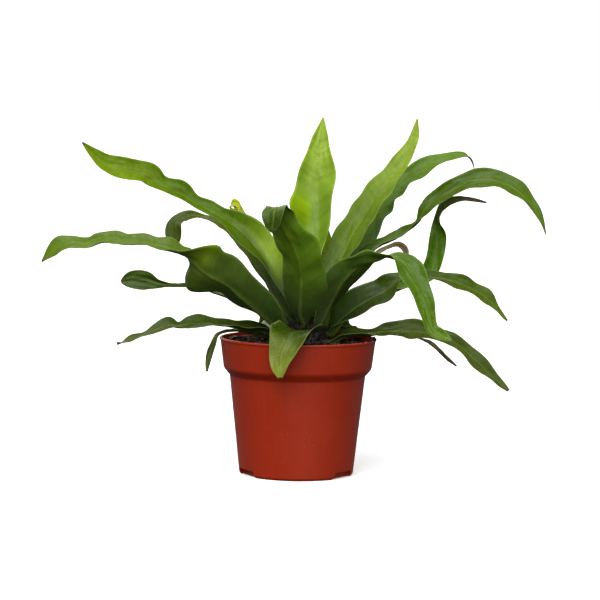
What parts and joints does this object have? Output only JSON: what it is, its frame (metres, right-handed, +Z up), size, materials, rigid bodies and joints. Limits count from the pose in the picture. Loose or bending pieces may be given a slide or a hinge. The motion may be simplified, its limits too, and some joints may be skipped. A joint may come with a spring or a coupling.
{
  "type": "potted fern",
  "caption": "Bird's-nest fern with long strap fronds growing from a crown in peat, in a tapered terracotta plastic nursery pot with a banded rim and footed base.",
  "frame": {"origin": "centre of the pot's underside, on the surface that it stands on", "axes": "+Z up, +X to the plant's right along its widest spread, -Y to its front"},
  "size_m": [0.3862, 0.2631, 0.2732],
  "materials": {
    "pot_plastic": "satin thermoformed polypropylene, terracotta red",
    "peat": "moist peat compost, rough",
    "rhizome": "brown scaly rhizome, matt",
    "dead_leaf": "dry leaf, papery",
    "frond_young": "thin, translucent, waxy yellow-green blade",
    "frond_grown": "waxy mid-green blade",
    "frond_old": "waxy dark green blade",
    "frond_withered": "dry brown frond"
  },
  "bodies": {
    "root": {"pot": "pot_plastic", "soil": "peat", "crown": "rhizome", "dead_leaf_scrap": "dead_leaf", "frond_upright": "frond_young", "frond_bright_right": "frond_young", "frond_unrolling": "frond_young", "crozier_left": "frond_young", "crozier_right": "frond_young", "frond_upper_left": "frond_young", "frond_back_inner": "frond_young", "frond_upper_right": "frond_grown", "frond_arching_right": "frond_grown", "frond_folded_right": "frond_grown", "frond_over_rim": "frond_grown", "frond_broad_left": "frond_grown", "frond_mid_right": "frond_grown", "frond_back_high": "frond_grown", "frond_back_left": "frond_grown", "frond_back_right": "frond_grown", "frond_back_hanging": "frond_grown", "frond_drooping_left": "frond_old", "frond_spoon_left": "frond_old", "frond_low_left": "frond_old", "frond_hanging_left": "frond_old", "frond_curled_front": "frond_old", "frond_twisted_right": "frond_old", "frond_low_right": "frond_old", "frond_thin_right": "frond_old", "frond_back_low_right": "frond_old", "frond_back_low_left": "frond_old", "frond_withered_right": "frond_withered"}
  },
  "joints": []
}
